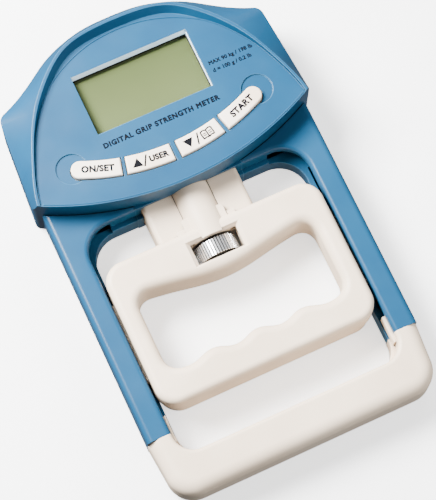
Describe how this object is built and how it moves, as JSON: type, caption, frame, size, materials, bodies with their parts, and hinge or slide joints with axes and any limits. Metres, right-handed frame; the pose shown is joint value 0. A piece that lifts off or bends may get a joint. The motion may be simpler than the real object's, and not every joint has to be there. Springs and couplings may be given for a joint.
{
  "type": "hand dynamometer",
  "caption": "Digital hand dynamometer: display head on a U-shaped frame, with a sliding finger handle set by a knurled wheel and pulled towards a palm grip.",
  "frame": {"origin": "middle of the back's bounding rectangle, on the plane the instrument lies on", "axes": "+X to the reader's right, +Y from the palm grip to the top of the display head, +Z out of the display"},
  "size_m": [0.1194, 0.189, 0.0315],
  "materials": {
    "housing_blue": "fine satin moulding",
    "grip_cream": "fine satin moulding",
    "key_cream": "satin with dark legends",
    "window_clear": "polished clear plastic",
    "lcd_green": "grey-green display glass",
    "carrier_white": "plain moulding",
    "zebra_rubber": "striped rubber",
    "board_green": "solder mask",
    "dome_steel": "bright snap domes",
    "ribbon": "film ribbon",
    "chip_black": "resin",
    "beam_aluminium": "machined",
    "gauge_film": "foil on film",
    "lead_red": "wire insulation",
    "screw_steel": "zinc plated",
    "wheel_steel": "turned and knurled",
    "contact_steel": "nickel plated",
    "cell_jacket": "printed jacket"
  },
  "bodies": {
    "frame": {"front_housing": "housing_blue", "rear_housing": "housing_blue", "guide_collar": "housing_blue", "base_grip_front": "grip_cream", "base_grip_rear": "grip_cream", "slide_block": "grip_cream", "display_window": "window_clear", "lcd_panel": "lcd_green", "lcd_carrier": "carrier_white", "rubber_connector": "zebra_rubber", "main_board": "board_green", "key_board": "board_green", "key_domes": "dome_steel", "board_link": "ribbon", "controller_chip": "chip_black", "buzzer": "chip_black", "load_cell": "beam_aluminium", "strain_gauges": "gauge_film", "load_cell_lead": "lead_red", "tie_bolts": "screw_steel", "load_cell_screws": "screw_steel", "head_screws": "screw_steel", "base_screws": "screw_steel", "rod_nut": "screw_steel", "battery_contacts": "contact_steel", "battery_cell_1": "cell_jacket", "battery_cell_2": "cell_jacket"},
    "handle": {"handle_front": "grip_cream", "handle_rear": "grip_cream", "handle_screws": "screw_steel", "wheel_washers": "screw_steel"},
    "wheel": {"adjusting_wheel": "wheel_steel", "threaded_rod": "screw_steel"},
    "button_on": {"button_on": "key_cream"},
    "button_up": {"button_up": "key_cream"},
    "button_down": {"button_down": "key_cream"},
    "button_start": {"button_start": "key_cream"},
    "battery_door": {"battery_door": "housing_blue"}
  },
  "joints": [
    {"name": "handle_slide", "type": "slide", "parent": "frame", "child": "handle", "axis": [0, 1, 0], "range_m": [-0.006, 0.006]},
    {"name": "wheel_spin", "type": "hinge", "parent": "handle", "child": "wheel", "pos_m": [0, -0.009, 0.011], "axis": [0, 1, 0], "range_deg": [-2165, 2165]},
    {"name": "button_on_press", "type": "slide", "parent": "frame", "child": "button_on", "axis": [0, 0, -1], "range_m": [0, 0.0007], "stiffness_N_per_m": 900},
    {"name": "button_up_press", "type": "slide", "parent": "frame", "child": "button_up", "axis": [0, 0, -1], "range_m": [0, 0.0007], "stiffness_N_per_m": 900},
    {"name": "button_down_press", "type": "slide", "parent": "frame", "child": "button_down", "axis": [0, 0, -1], "range_m": [0, 0.0007], "stiffness_N_per_m": 900},
    {"name": "button_start_press", "type": "slide", "parent": "frame", "child": "button_start", "axis": [0, 0, -1], "range_m": [0, 0.0007], "stiffness_N_per_m": 900},
    {"name": "battery_door_pull", "type": "slide", "parent": "frame", "child": "battery_door", "axis": [0, 0, -1], "range_m": [0, 0.012]}
  ],
  "couplings": [
    {"joint": "wheel_spin", "follows": "handle_slide", "rad_per_m": 6283.2}
  ]
}
